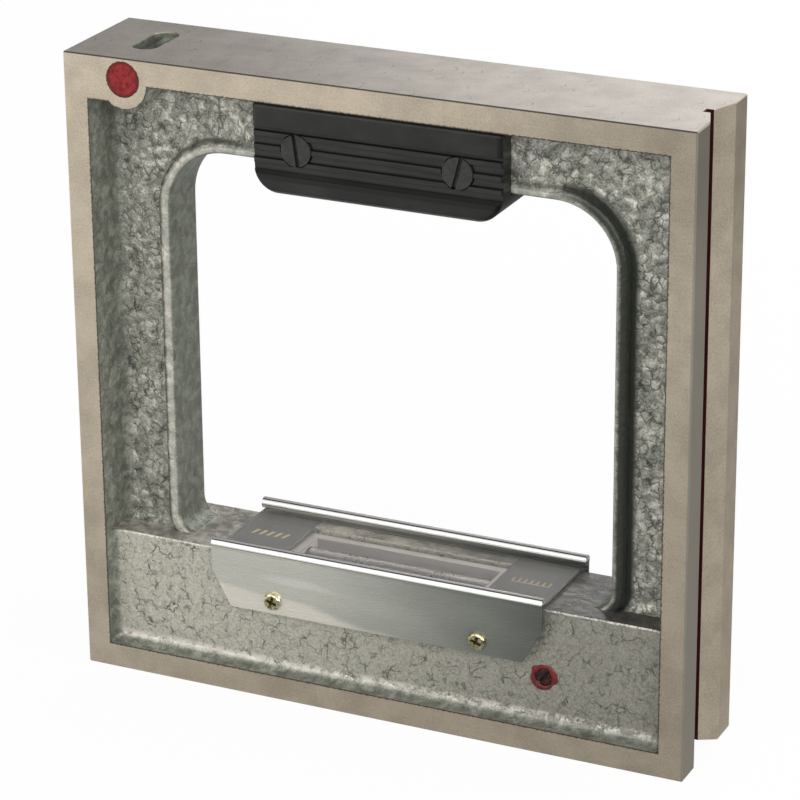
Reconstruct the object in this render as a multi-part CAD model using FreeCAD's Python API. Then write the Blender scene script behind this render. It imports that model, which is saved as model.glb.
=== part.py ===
import FreeCAD, Part
import math
import os

# Square frame level for machine shops: a cast-iron frame with flat and V-grooved working faces,
# a main vial in the lower beam, a small cross vial in the upper left corner and a two-part grip.
# Millimetres and degrees. X runs along the level, Y through its thickness (front is -Y), Z is up.
# The origin is the middle of the base.

# Frame casting
frame_side = 200.0            # outer width and height
frame_thickness = 40.0
frame_edge_chamfer = 0.4
rim_width = 8.0               # ground border round the recessed sides
sill_height = 45.3            # top of the lower beam
window_width = 144.0
window_head_drop = 29.5       # from the top face down to the window's upper edge
window_head_radius = 19.0
window_foot_radius = 6.0
bead_width = 4.0              # raised border round the window
bead_thickness = 18.0
bead_rounding = 1.6
web_thickness = 9.0
root_fillet = 3.0             # web to rim and web to lower beam
recess_corner_rounding = 1.2  # corners of the recesses, seen from the front
bead_fillet = 2.0             # web to bead
beam_thickness = 30.0         # lower beam
beam_edge_rounding = 0.6
pad_margin = 6.3              # level pad in the upper beam, past each end of the grip
pad_slope = 18.0              # run-out of the pad at each end

# V-grooved faces: the base and the right side
land_width = 9.5
groove_angle = 140.0
relief_width = 3.0
relief_depth = 5.4            # from the land to the bottom of the relief slot

# Cross vial in the upper left corner
cross_inset = 20.0            # from the left face to the vial's axis
cross_drop = 6.5              # from the top face to the vial's axis
cross_bore_radius = 5.0
cross_bore_end_wall = 4.0
cross_plug_length = 3.5
cross_lug_radius = 8.0
cross_lug_drop = 7.8          # from the top face to the lug's centre
cross_heel_drop = 13.8        # from the top face to the underside of the lug's heel
cross_slot_length = 20.5
cross_slot_width = 8.6
cross_slot_centre = 0.8       # behind the middle plane
cross_sleeve_wall = 1.05
cross_glass_length = 27.5
cross_glass_wall = 0.9
cross_bubble_radius = 1.5
cross_bubble_length = 9.0

# Grip: two mouldings clamped on the upper beam
grip_length = 79.4
grip_top_gap = 1.3            # below the rim
grip_drop = 7.3               # below the window's upper edge
grip_proud = 7.0              # in front of the pad
grip_corner_radius = 8.0
grip_edge_rounding = 1.5
grip_band_height = 14.4
grip_band_bottom = 5.8        # above the grip's lower edge
grip_band_depth = 1.5
grip_band_slope = 1.2
rib_count = 3
rib_pitch = 4.1
rib_width = 1.9
rib_height = 1.0
rib_taper = 0.4               # half the rib's crest over its width
grip_screw_inset = 13.95      # from the grip's ends
grip_screw_rise = 6.5         # above the window's upper edge
grip_head_radius = 4.8
grip_head_height = 3.0
grip_shank_radius = 2.5
grip_barrel_radius = 3.5
grip_slot_width = 1.3
grip_slot_depth = 1.2
left_slot_tilt = -8.0
right_slot_tilt = 15.0

# Vial cover, its two clamping strips and their screws
cover_centre = -0.8           # middle of the vial assembly along X
cover_overlap = 4.5           # past each end of the holder
cover_plate = 1.0
cover_wall = 2.35
mask_length = 20.5            # dark plates under both ends of the window
mask_thickness = 0.25
strip_thickness = 1.0
strip_drop = 17.1             # from the sill to the strip's lower edge
strip_bevel_rise = 11.4
strip_bevel_run = 6.2
strip_bead_radius = 1.75
strip_bead_lift = 2.6         # bead's axis above the sill
strip_bead_inset = 1.4        # bead's axis inside the strip's outer face
wall_inset = 0.8              # cover's side walls stop this far inside the strips' outline
cover_screw_inset = 20.85     # from the strips' ends
cover_screw_drop = 12.7
cover_screw_radius = 1.5
cover_head_radius = 2.9
cover_head_height = 1.5
cover_screw_grip = 3.5        # length in the iron
cross_recess_width = 0.95
cross_recess_length = 3.7
cross_recess_depth = 0.9

# Main vial and its tilting holder
holder_end_block = 8.5        # steel past each end of the trough
holder_width = 18.4
holder_top_drop = 1.5         # below the sill
holder_side_gap = 0.8
holder_end_gap = 1.0
holder_floor_gap = 1.4
holder_floor = 1.7            # iron under the trough
trough_radius = 6.4
glass_length = 76.0
glass_radius = 5.75
glass_wall = 1.1
glass_end_wall = 2.5
glass_crown_drop = 0.8        # below the holder's top
bedding_end_wall = 4.0        # plaster past each end of the glass
bedding_end_length = 11.0     # over the glass and its end, seen from the window
bubble_radius = 1.9
bubble_length = 22.0
pivot_radius = 2.0
pivot_inset = 4.3             # from the holder's left end to the pivot's axis
pivot_drop = 9.3              # from the sill to the pivot's axis
pivot_cheek_length = 9.0
pivot_end_inset = 0.3         # pin's ends below the beam's faces

# Zero screw: an eccentric that tilts the holder
zero_reach = 3.8              # from the holder's right end to the screw's axis
zero_drop = 22.4              # from the sill to the screw's axis
zero_head_radius = 3.0
zero_head_recess = 0.4
zero_slot_width = 0.9
zero_slot_depth = 1.0
zero_lobe_radius = 2.2
zero_eccentricity = 0.5
zero_tail_radius = 1.6
zero_tail_length = 5.2
fork_width = 6.0
fork_height = 8.4
fork_tip = 4.6                # past the screw's axis
fork_leg = 6.5
chamber_width = 10.0
chamber_gap = 1.4

# Fits and clearances
slip = 0.05                   # radial, between pieces that are fitted together
running_fit = 0.06            # radial, between pieces that turn on each other
seat_gap = 0.3                # between pieces that only lie close
cover_gap = 0.1
parting_gap = 0.2             # between the halves of the grip
grip_hole_gap = 0.2           # radial, round the grip's screws

# Places worked out from the sizes above
half_side = frame_side / 2
front = -frame_thickness / 2
back = frame_thickness / 2
inner_half = half_side - rim_width
recess_top = frame_side - rim_width
window_half = window_width / 2
pad_length = grip_length + 2 * pad_margin
grip_screw_spacing = grip_length - 2 * grip_screw_inset
window_head = frame_side - window_head_drop
half_web = web_thickness / 2
half_bead = bead_thickness / 2
half_beam = beam_thickness / 2
cross_x = -half_side + cross_inset
cross_z = frame_side - cross_drop
trough_length = glass_length + 2 * bedding_end_wall
holder_length = trough_length + 2 * holder_end_block
cover_length = holder_length + 2 * cover_overlap
cover_screw_spacing = cover_length - 2 * cover_screw_inset
holder_left = cover_centre - holder_length / 2
holder_right = cover_centre + holder_length / 2
holder_top = sill_height - holder_top_drop
vial_z = holder_top - glass_crown_drop - glass_radius
holder_bottom = vial_z - trough_radius - holder_floor
pocket_half_width = holder_width / 2 + holder_side_gap
pocket_floor = holder_bottom - holder_floor_gap
pivot_x = holder_left + pivot_inset
pivot_z = sill_height - pivot_drop
zero_x = holder_right + zero_reach
zero_z = sill_height - zero_drop
cover_top = sill_height + cover_plate
cover_wall_face = half_beam + cover_gap + cover_wall
strip_inner_face = cover_wall_face + slip
strip_outer_face = strip_inner_face + strip_thickness
strip_bottom = sill_height - strip_drop
strip_bead_y = strip_outer_face - strip_bead_inset
strip_bead_z = sill_height + strip_bead_lift
cover_screw_z = sill_height - cover_screw_drop
cover_screw_tip = half_beam - cover_screw_grip
grip_face = -half_bead - grip_proud
grip_bottom = window_head - grip_drop
grip_screw_z = window_head + grip_screw_rise
grip_head_face = grip_face + grip_band_depth - rib_height
grip_seat = grip_head_face + grip_head_height
overrun = 1.0                 # how far a cutting tool passes a face


def point(x, y, z):
    return FreeCAD.Vector(x, y, z)


def block(x0, x1, y0, y1, z0, z1):
    return Part.makeBox(x1 - x0, y1 - y0, z1 - z0, point(x0, y0, z0))


def rod_along_y(radius, x, z, y0, y1):
    return Part.makeCylinder(radius, y1 - y0, point(x, y0, z), point(0, 1, 0))


def rod_along_x(radius, y, z, x0, x1):
    return Part.makeCylinder(radius, x1 - x0, point(x0, y, z), point(1, 0, 0))


def mirrored(shape):
    """The same shape on the other side of the middle plane."""
    return shape.mirror(point(0, 0, 0), point(0, 1, 0))


def prism(corners, direction):
    """Straight-sided solid: the closed polygon of corners carried along direction."""
    outline = Part.makePolygon(corners + [corners[0]])
    return Part.Face(outline).extrude(direction)


def rounded_slab(half_width, z0, z1, foot_radius, head_radius, y0, y1):
    """Slab across Y whose outline is a rectangle with its own radius at the foot and at the head."""
    quarter = math.pi / 2

    def arc(x, z, radius, start):
        def on_arc(turn):
            return point(x + radius * math.cos(turn), y0, z + radius * math.sin(turn))
        return Part.Arc(on_arc(start), on_arc(start + quarter / 2), on_arc(start + quarter)).toShape()

    corners = [
        (half_width - foot_radius, z0 + foot_radius, foot_radius, -quarter),
        (half_width - head_radius, z1 - head_radius, head_radius, 0),
        (-half_width + head_radius, z1 - head_radius, head_radius, quarter),
        (-half_width + foot_radius, z0 + foot_radius, foot_radius, 2 * quarter),
    ]
    arcs = [arc(*corner) for corner in corners]
    edges = []
    for first, second in zip(arcs, arcs[1:] + arcs[:1]):
        edges.append(first)
        edges.append(Part.LineSegment(first.lastVertex().Point, second.firstVertex().Point).toShape())
    return Part.Face(Part.Wire(edges)).extrude(point(0, y1 - y0, 0))


def edges_in_plane(shape, y):
    """Edges that lie wholly in the plane at this Y."""
    tolerance = 1e-6
    found = []
    for edge in shape.Edges:
        bounds = edge.BoundBox
        if abs(bounds.YMin - y) < tolerance and abs(bounds.YMax - y) < tolerance:
            found.append(edge)
    return found


def edges_along_y(shape):
    """Edges that run straight across the thickness."""
    tolerance = 1e-6
    found = []
    for edge in shape.Edges:
        bounds = edge.BoundBox
        if bounds.XLength < tolerance and bounds.ZLength < tolerance:
            found.append(edge)
    return found


def tilted_slot(width, length, depth, x, z, y, tilt):
    """Cutter for a screwdriver slot in a head whose front face is at y; tilt turns it about Y."""
    cutter = block(-width / 2, width / 2, -overrun, depth, -length / 2, length / 2)
    cutter.rotate(point(0, 0, 0), point(0, 1, 0), tilt)
    cutter.translate(point(x, y, z))
    return cutter


def window_outline(growth, y0, y1):
    return rounded_slab(
        window_half + growth, sill_height - growth, window_head + growth,
        window_foot_radius + growth, window_head_radius + growth, y0, y1)


def web_plate():
    """The web as a plain plate far past the rims, with the window and its rounded bead."""
    reach = frame_side
    plate = block(-reach, reach, -half_web, half_web, -reach, 2 * reach)
    plate = plate.fuse(window_outline(bead_width, -half_bead, half_bead))
    foot = []
    for edge in edges_in_plane(plate, -half_web) + edges_in_plane(plate, half_web):
        if edge.BoundBox.ZMin > -reach and edge.BoundBox.ZMax < 2 * reach:
            foot.append(edge)
    plate = plate.makeFillet(bead_fillet, foot)
    plate = plate.cut(window_outline(0, front, back))
    brow = edges_in_plane(plate, -half_bead) + edges_in_plane(plate, half_bead)
    return plate.makeFillet(bead_rounding, brow)


def upper_recess():
    """Hollow in the front face above the lower beam, with the web as its floor."""
    hollow = block(-inner_half, inner_half, front - overrun, -half_web, sill_height, recess_top)
    lug = rod_along_y(
        cross_lug_radius, cross_x, frame_side - cross_lug_drop, front - 2 * overrun, back)
    heel = block(
        -half_side, cross_x - cross_lug_radius / 2, front - 2 * overrun, back,
        frame_side - cross_heel_drop, frame_side)
    hollow = hollow.cut(lug.fuse(heel))
    corners = [edge for edge in edges_along_y(hollow) if edge.BoundBox.ZMin > sill_height + overrun]
    hollow = hollow.makeFillet(recess_corner_rounding, corners)
    hollow = hollow.makeFillet(root_fillet, edges_in_plane(hollow, -half_web))
    hollow = hollow.cut(web_plate())

    pad_half = pad_length / 2
    pad_foot = pad_half + pad_slope
    pad_bottom = window_head + bead_width / 2
    pad = prism(
        [
            point(-pad_foot, -half_web + overrun, pad_bottom),
            point(-pad_foot, -half_web, pad_bottom),
            point(-pad_half, -half_bead, pad_bottom),
            point(pad_half, -half_bead, pad_bottom),
            point(pad_foot, -half_web, pad_bottom),
            point(pad_foot, -half_web + overrun, pad_bottom),
        ],
        point(0, 0, recess_top - pad_bottom + overrun))
    return hollow.cut(pad)


def lower_recess():
    """Shallow hollow in front of the lower beam."""
    hollow = block(
        -inner_half, inner_half, front - overrun, -half_beam, rim_width, sill_height + overrun)
    corners = [edge for edge in edges_along_y(hollow) if edge.BoundBox.ZMin < sill_height]
    hollow = hollow.makeFillet(recess_corner_rounding, corners)
    floor_edges = []
    for edge in edges_in_plane(hollow, -half_beam):
        if edge.BoundBox.ZMin < sill_height:
            floor_edges.append(edge)
    return hollow.makeFillet(root_fillet, floor_edges)


def beam_edge():
    """Cutter that rounds the upper front edge of the lower beam between its end fillets."""
    reach = inner_half - root_fillet
    centre_y = -half_beam + beam_edge_rounding
    centre_z = sill_height - beam_edge_rounding
    corner = block(-reach, reach, -half_beam - overrun, centre_y, centre_z, sill_height + overrun)
    return corner.cut(rod_along_x(beam_edge_rounding, centre_y, centre_z, -reach, reach))


def v_groove(length):
    """Cutter for a V with a relief slot, along X on the base."""
    half_mouth = frame_thickness / 2 - land_width
    slope = math.tan(math.radians(90 - groove_angle / 2))
    lip = overrun / slope
    vee = prism(
        [
            point(-length / 2, -half_mouth - lip, -overrun),
            point(-length / 2, half_mouth + lip, -overrun),
            point(-length / 2, 0, half_mouth * slope),
        ],
        point(length, 0, 0))
    relief = block(-length / 2, length / 2, -relief_width / 2, relief_width / 2, 0, relief_depth)
    return vee.fuse(relief)


def cross_slot(width, length, z0, z1):
    """Upright slot with round ends, over the cross vial."""
    reach = (length - width) / 2
    slot = block(
        cross_x - width / 2, cross_x + width / 2,
        cross_slot_centre - reach, cross_slot_centre + reach, z0, z1)
    for end in (-reach, reach):
        slot = slot.fuse(
            Part.makeCylinder(width / 2, z1 - z0, point(cross_x, cross_slot_centre + end, z0)))
    return slot


def vial_pocket():
    """Hollow in the lower beam for the holder, with the side chamber for its fork."""
    pocket = block(
        holder_left - holder_end_gap, holder_right + holder_end_gap,
        -pocket_half_width, pocket_half_width, pocket_floor, sill_height + overrun)
    chamber = block(
        holder_right - fork_leg - chamber_gap, zero_x + fork_tip + chamber_gap,
        -chamber_width / 2, chamber_width / 2, zero_z - fork_height / 2 - chamber_gap, pocket_floor)
    return pocket.fuse(chamber)


def frame_casting():
    casting = block(-half_side, half_side, front, back, 0, frame_side)
    casting = casting.makeChamfer(frame_edge_chamfer, casting.Edges)
    for hollow in (upper_recess(), lower_recess(), beam_edge()):
        casting = casting.cut([hollow, mirrored(hollow)])
    casting = casting.cut(window_outline(0, front, back))

    groove = v_groove(frame_side + 4 * overrun)
    side_groove = groove.copy()
    side_groove.rotate(point(0, 0, 0), point(0, 1, 0), -90)
    side_groove.translate(point(half_side, 0, half_side))
    casting = casting.cut([groove, side_groove])

    casting = casting.cut(rod_along_y(
        cross_bore_radius, cross_x, cross_z, front - overrun, back - cross_bore_end_wall))
    casting = casting.cut(cross_slot(
        cross_slot_width, cross_slot_length, cross_z, frame_side + overrun))

    casting = casting.cut(vial_pocket())
    casting = casting.cut(rod_along_y(
        pivot_radius + slip, pivot_x, pivot_z, -half_beam - overrun, half_beam + overrun))
    casting = casting.cut(rod_along_y(
        zero_head_radius + running_fit, zero_x, zero_z, -half_beam - overrun, 0))
    casting = casting.cut(rod_along_y(
        zero_tail_radius + running_fit, zero_x, zero_z, 0, chamber_width / 2 + zero_tail_length + seat_gap))
    for x in screw_places(cover_screw_spacing, cover_centre):
        hole = rod_along_y(
            cover_screw_radius + slip, x, cover_screw_z, -half_beam - overrun, -pocket_half_width + overrun)
        casting = casting.cut([hole, mirrored(hole)])
    for x in screw_places(grip_screw_spacing, 0):
        casting = casting.cut(rod_along_y(
            grip_barrel_radius + grip_hole_gap, x, grip_screw_z, front, back))
    return casting


def screw_places(spacing, centre):
    return [centre - spacing / 2, centre + spacing / 2]


def grip_half(shank_radius):
    """Front half of the grip; the rear half is its mirror image with a wider screw hole."""
    top = recess_top - grip_top_gap
    half_length = grip_length / 2
    body = rounded_slab(
        half_length, grip_bottom, top, grip_corner_radius, grip_edge_rounding,
        grip_face, -parting_gap / 2)
    body = body.makeFillet(grip_edge_rounding, edges_in_plane(body, grip_face))
    body = body.cut(block(
        -half_length - overrun, half_length + overrun, -half_bead, overrun,
        window_head - seat_gap, top + overrun))

    band_low = grip_bottom + grip_band_bottom
    band_high = band_low + grip_band_height
    floor = grip_face + grip_band_depth
    band = prism(
        [
            point(-half_length - overrun, grip_face - overrun, band_low),
            point(-half_length - overrun, grip_face, band_low),
            point(-half_length - overrun, floor, band_low + grip_band_slope),
            point(-half_length - overrun, floor, band_high - grip_band_slope / 2),
            point(-half_length - overrun, grip_face, band_high),
            point(-half_length - overrun, grip_face - overrun, band_high),
        ],
        point(grip_length + 2 * overrun, 0, 0))
    for number in range(rib_count):
        rib_z = grip_screw_z + (number - (rib_count - 1) / 2) * rib_pitch
        band = band.cut(prism(
            [
                point(-half_length - overrun, floor + overrun, rib_z - rib_width / 2),
                point(-half_length - overrun, floor, rib_z - rib_width / 2),
                point(-half_length - overrun, floor - rib_height, rib_z - rib_width * rib_taper),
                point(-half_length - overrun, floor - rib_height, rib_z + rib_width * rib_taper),
                point(-half_length - overrun, floor, rib_z + rib_width / 2),
                point(-half_length - overrun, floor + overrun, rib_z + rib_width / 2),
            ],
            point(grip_length + 2 * overrun, 0, 0)))
    body = body.cut(band)
    for x in screw_places(grip_screw_spacing, 0):
        body = body.cut(rod_along_y(
            grip_head_radius + seat_gap, x, grip_screw_z, grip_face - overrun, grip_seat))
        body = body.cut(rod_along_y(
            shank_radius + grip_hole_gap, x, grip_screw_z, grip_face, 0))
    return body.removeSplitter()


def grip_screw(x, tilt):
    """Slotted screw that enters the front half and threads into the sleeve nut."""
    screw = rod_along_y(grip_head_radius, x, grip_screw_z, grip_head_face, grip_seat)
    screw = screw.fuse(rod_along_y(grip_shank_radius, x, grip_screw_z, grip_seat, half_bead))
    return screw.cut(tilted_slot(
        grip_slot_width, 2 * grip_head_radius + 2 * overrun, grip_slot_depth,
        x, grip_screw_z, grip_head_face, tilt))


def grip_nut(x, tilt):
    """Sleeve nut from the rear, with the same slotted head."""
    nut = rod_along_y(grip_head_radius, x, grip_screw_z, grip_head_face, grip_seat)
    nut = nut.fuse(rod_along_y(grip_barrel_radius, x, grip_screw_z, grip_seat, 0))
    nut = nut.cut(tilted_slot(
        grip_slot_width, 2 * grip_head_radius + 2 * overrun, grip_slot_depth,
        x, grip_screw_z, grip_head_face, tilt))
    nut = mirrored(nut)
    return nut.cut(rod_along_y(
        grip_shank_radius + slip, x, grip_screw_z, -overrun, half_bead + overrun))


def strip_plate(inset, y0, y1, top):
    """Plate with bevelled lower corners, in the outline of the clamping strips less an inset."""
    half_length = cover_length / 2 - inset
    bottom = strip_bottom + inset
    bevel_top = strip_bottom + strip_bevel_rise
    outline = [
        point(cover_centre - half_length, y0, top),
        point(cover_centre - half_length, y0, bevel_top),
        point(cover_centre - half_length + strip_bevel_run, y0, bottom),
        point(cover_centre + half_length - strip_bevel_run, y0, bottom),
        point(cover_centre + half_length, y0, bevel_top),
        point(cover_centre + half_length, y0, top),
    ]
    return prism(outline, point(0, y1 - y0, 0))


def screw_holes(radius, y0, y1):
    return [
        rod_along_y(radius, x, cover_screw_z, y0, y1)
        for x in screw_places(cover_screw_spacing, cover_centre)
    ]


def window_cover():
    """Clear cover: a plate on the sill and two side walls down the faces of the lower beam."""
    wall = strip_plate(wall_inset, -cover_wall_face, -half_beam - cover_gap, cover_top)
    wall = wall.cut(screw_holes(cover_screw_radius + slip, -cover_wall_face - overrun, -half_beam))
    plate = block(
        cover_centre - cover_length / 2 + wall_inset, cover_centre + cover_length / 2 - wall_inset,
        -cover_wall_face, cover_wall_face, sill_height + slip, cover_top)
    cover = plate.fuse([wall, mirrored(wall)])
    for end in (-1, 1):
        cover = cover.cut(mask_block(end, slip, cover_gap))
    return cover.removeSplitter()


def mask_block(end, growth, side_growth):
    """Flat block on the sill under the cover's left (-1) or right (1) end, grown past the mask's size."""
    outer = cover_centre + end * (cover_length / 2 - wall_inset + growth)
    inner = outer - end * (mask_length + 2 * growth)
    return block(
        min(outer, inner), max(outer, inner), -half_beam - side_growth, half_beam + side_growth,
        sill_height, sill_height + mask_thickness + growth)


def mask_plate(end):
    """Dark plate in a shallow pocket of the cover's underside."""
    return mask_block(end, 0, 0)


def clamping_strip():
    """Metal strip on the front: flat skirt, round bead along its top that grips the cover."""
    half_length = cover_length / 2
    bead = rod_along_x(
        strip_bead_radius, -strip_bead_y, strip_bead_z,
        cover_centre - half_length, cover_centre + half_length)
    bead = bead.cut(block(
        cover_centre - half_length - overrun, cover_centre + half_length + overrun,
        -strip_inner_face, 0, sill_height, cover_top + slip))
    strip = strip_plate(0, -strip_outer_face, -strip_inner_face, strip_bead_z).fuse(bead)
    strip = strip.cut(screw_holes(cover_screw_radius + slip, front - overrun, -half_beam))
    return strip.removeSplitter()


def cover_screw(x):
    """Pan-head screw with a cross recess."""
    head = rod_along_y(
        cover_head_radius, x, cover_screw_z, -strip_outer_face - cover_head_height, -strip_outer_face)
    crown = edges_in_plane(head, -strip_outer_face - cover_head_height)
    head = head.makeFillet(cover_head_height * 0.75, crown)
    screw = head.fuse(rod_along_y(
        cover_screw_radius, x, cover_screw_z, -strip_outer_face, -cover_screw_tip))
    for tilt in (20, 110):
        screw = screw.cut(tilted_slot(
            cross_recess_width, cross_recess_length, cross_recess_depth,
            x, cover_screw_z, -strip_outer_face - cover_head_height, tilt))
    return screw


def trough(radius, x0, x1):
    """Round-bottomed channel along X that is open at the top of the holder."""
    channel = rod_along_x(radius, 0, vial_z, x0, x1)
    return channel.fuse(block(x0, x1, -radius, radius, vial_z, holder_top))


def vial_holder():
    """Steel cradle that turns on the pivot pin and ends in a fork round the zero screw."""
    half_width = holder_width / 2
    body = block(holder_left, holder_right, -half_width, half_width, holder_bottom, holder_top)
    cheek_half = pocket_half_width - seat_gap
    body = body.fuse(block(
        holder_left, holder_left + pivot_cheek_length, -cheek_half, cheek_half,
        holder_bottom, holder_top))
    body = body.cut(trough(
        trough_radius, cover_centre - trough_length / 2, cover_centre + trough_length / 2))
    body = body.cut(block(
        cover_centre - trough_length / 2, cover_centre + trough_length / 2,
        -trough_radius, trough_radius, holder_top - slip, holder_top + overrun))
    body = body.cut(rod_along_y(
        pivot_radius + running_fit, pivot_x, pivot_z, -half_beam, half_beam))

    half_fork = fork_width / 2
    fork_top = zero_z + fork_height / 2
    fork_bottom = zero_z - fork_height / 2
    body = body.fuse(block(
        holder_right - fork_leg, holder_right, -half_fork, half_fork, fork_bottom, holder_bottom))
    body = body.fuse(block(
        holder_right - fork_leg, zero_x + fork_tip, -half_fork, half_fork, fork_bottom, fork_top))
    fork_radius = zero_lobe_radius + running_fit
    body = body.cut(rod_along_y(
        fork_radius, zero_x - zero_eccentricity, zero_z, -half_beam, half_beam))
    body = body.cut(block(
        zero_x - zero_eccentricity, zero_x + fork_tip + overrun, -half_beam, half_beam,
        zero_z - fork_radius, zero_z + fork_radius))
    return body.removeSplitter()


def vial_glass():
    """Sealed glass tube with a flat closed wall at each end."""
    half_length = glass_length / 2
    tube = rod_along_x(
        glass_radius, 0, vial_z, cover_centre - half_length, cover_centre + half_length)
    bore = rod_along_x(
        glass_radius - glass_wall, 0, vial_z,
        cover_centre - half_length + glass_end_wall, cover_centre + half_length - glass_end_wall)
    return tube.cut(bore)


def bubble(radius, length):
    """Long drop with round ends, along X about the origin."""
    half_body = length / 2 - radius
    drop = rod_along_x(radius, 0, 0, -half_body, half_body)
    for end in (-half_body, half_body):
        drop = drop.fuse(Part.makeSphere(radius, point(end, 0, 0)))
    return drop


def vial_liquid():
    """Liquid that fills the tube up to the bubble under its crown."""
    half_length = glass_length / 2 - glass_end_wall - slip
    radius = glass_radius - glass_wall - slip
    liquid = rod_along_x(
        radius, 0, vial_z, cover_centre - half_length, cover_centre + half_length)
    gap = bubble(bubble_radius, bubble_length)
    gap.translate(point(cover_centre, 0, vial_z + radius - bubble_radius * 0.8))
    return liquid.cut(gap)


def vial_bedding():
    """Plaster that beds the glass in the trough and wraps round both of its ends."""
    half_length = trough_length / 2 - slip
    half_open = trough_length / 2 - bedding_end_length
    radius = trough_radius - slip
    bed = trough(radius, cover_centre - half_length, cover_centre + half_length)
    half_glass = glass_length / 2 + slip
    bed = bed.cut(rod_along_x(
        glass_radius + slip, 0, vial_z, cover_centre - half_glass, cover_centre + half_glass))
    return bed.cut(block(
        cover_centre - half_open, cover_centre + half_open, -trough_radius, trough_radius,
        vial_z, holder_top + overrun))


def pivot_pin():
    reach = half_beam - pivot_end_inset
    return rod_along_y(pivot_radius, pivot_x, pivot_z, -reach, reach)


def zero_screw():
    """Slotted head journal, eccentric lobe in the fork, tail journal in the rear wall."""
    head_face = -half_beam + zero_head_recess
    lobe_start = -chamber_width / 2 - seat_gap
    lobe_end = chamber_width / 2 - seat_gap
    screw = rod_along_y(zero_head_radius, zero_x, zero_z, head_face, lobe_start)
    screw = screw.fuse(rod_along_y(
        zero_lobe_radius, zero_x + zero_eccentricity, zero_z, lobe_start, lobe_end))
    screw = screw.fuse(rod_along_y(
        zero_tail_radius, zero_x, zero_z, lobe_end, chamber_width / 2 + zero_tail_length))
    return screw.cut(tilted_slot(
        zero_slot_width, 2 * zero_head_radius + 2 * overrun, zero_slot_depth,
        zero_x, zero_z, head_face, 40))


def cross_plug():
    """Sealing plug, flush with the front face."""
    return rod_along_y(cross_bore_radius - slip, cross_x, cross_z, front, front + cross_plug_length)


def cross_sleeve():
    """Brass tube that fills the bore behind the plug and is open under the viewing slot."""
    start = front + cross_plug_length
    end = back - cross_bore_end_wall
    sleeve = rod_along_y(cross_bore_radius - slip, cross_x, cross_z, start, end)
    sleeve = sleeve.cut(rod_along_y(
        cross_bore_radius - slip - cross_sleeve_wall, cross_x, cross_z,
        start - overrun, end + overrun))
    return sleeve.cut(cross_slot(
        cross_slot_width - 2 * cross_sleeve_wall, cross_slot_length - 2 * cross_sleeve_wall,
        cross_z, frame_side))


def cross_glass():
    radius = cross_bore_radius - 2 * slip - cross_sleeve_wall
    half_length = cross_glass_length / 2
    tube = rod_along_y(
        radius, cross_x, cross_z, cross_slot_centre - half_length, cross_slot_centre + half_length)
    inner_half_length = half_length - 2 * cross_glass_wall
    return tube.cut(rod_along_y(
        radius - cross_glass_wall, cross_x, cross_z,
        cross_slot_centre - inner_half_length, cross_slot_centre + inner_half_length))


def cross_liquid():
    radius = cross_bore_radius - 3 * slip - cross_sleeve_wall - cross_glass_wall
    half_length = cross_glass_length / 2 - 2 * cross_glass_wall - slip
    liquid = rod_along_y(
        radius, cross_x, cross_z, cross_slot_centre - half_length, cross_slot_centre + half_length)
    gap = bubble(cross_bubble_radius, cross_bubble_length)
    gap.rotate(point(0, 0, 0), point(0, 0, 1), 90)
    gap.translate(point(
        cross_x, cross_slot_centre, cross_z + radius - cross_bubble_radius * 0.8))
    return liquid.cut(gap)


def main():
    grip_left, grip_right = screw_places(grip_screw_spacing, 0)
    cover_left, cover_right = screw_places(cover_screw_spacing, cover_centre)
    pieces = {
        "frame_casting": frame_casting(),
        "front_grip": grip_half(grip_shank_radius),
        "rear_grip": mirrored(grip_half(grip_barrel_radius)),
        "grip_screw_left": grip_screw(grip_left, left_slot_tilt),
        "grip_screw_right": grip_screw(grip_right, right_slot_tilt),
        "grip_nut_left": grip_nut(grip_left, right_slot_tilt),
        "grip_nut_right": grip_nut(grip_right, left_slot_tilt),
        "window_cover": window_cover(),
        "left_mask": mask_plate(-1),
        "right_mask": mask_plate(1),
        "front_strip": clamping_strip(),
        "rear_strip": mirrored(clamping_strip()),
        "front_screw_left": cover_screw(cover_left),
        "front_screw_right": cover_screw(cover_right),
        "rear_screw_left": mirrored(cover_screw(cover_left)),
        "rear_screw_right": mirrored(cover_screw(cover_right)),
        "vial_holder": vial_holder(),
        "vial_bedding": vial_bedding(),
        "vial_glass": vial_glass(),
        "vial_liquid": vial_liquid(),
        "pivot_pin": pivot_pin(),
        "zero_screw": zero_screw(),
        "cross_plug": cross_plug(),
        "cross_sleeve": cross_sleeve(),
        "cross_glass": cross_glass(),
        "cross_liquid": cross_liquid(),
    }
    os.makedirs("parts", exist_ok=True)
    for name, shape in pieces.items():
        shape.exportStep("parts/" + name + ".step")
        bounds = shape.BoundBox
        print(name, len(shape.Solids), shape.isValid(), round(shape.Volume, 1),
              [round(v, 2) for v in (bounds.XMin, bounds.YMin, bounds.ZMin,
                                     bounds.XMax, bounds.YMax, bounds.ZMax)])


main()
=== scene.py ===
import bpy
import numpy as np
from mathutils import Matrix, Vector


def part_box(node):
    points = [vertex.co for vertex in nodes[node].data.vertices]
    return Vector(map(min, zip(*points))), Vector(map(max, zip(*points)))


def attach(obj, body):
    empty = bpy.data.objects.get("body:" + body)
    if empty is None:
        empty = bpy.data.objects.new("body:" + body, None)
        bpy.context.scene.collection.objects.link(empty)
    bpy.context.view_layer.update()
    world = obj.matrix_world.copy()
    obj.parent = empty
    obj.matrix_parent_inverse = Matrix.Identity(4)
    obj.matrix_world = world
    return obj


# A square cast-iron frame level: ground faces, hammered paint, a black grip and a covered vial.
# Lengths are metres in the object's own frame. Patterns are worked out in millimetres.

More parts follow.
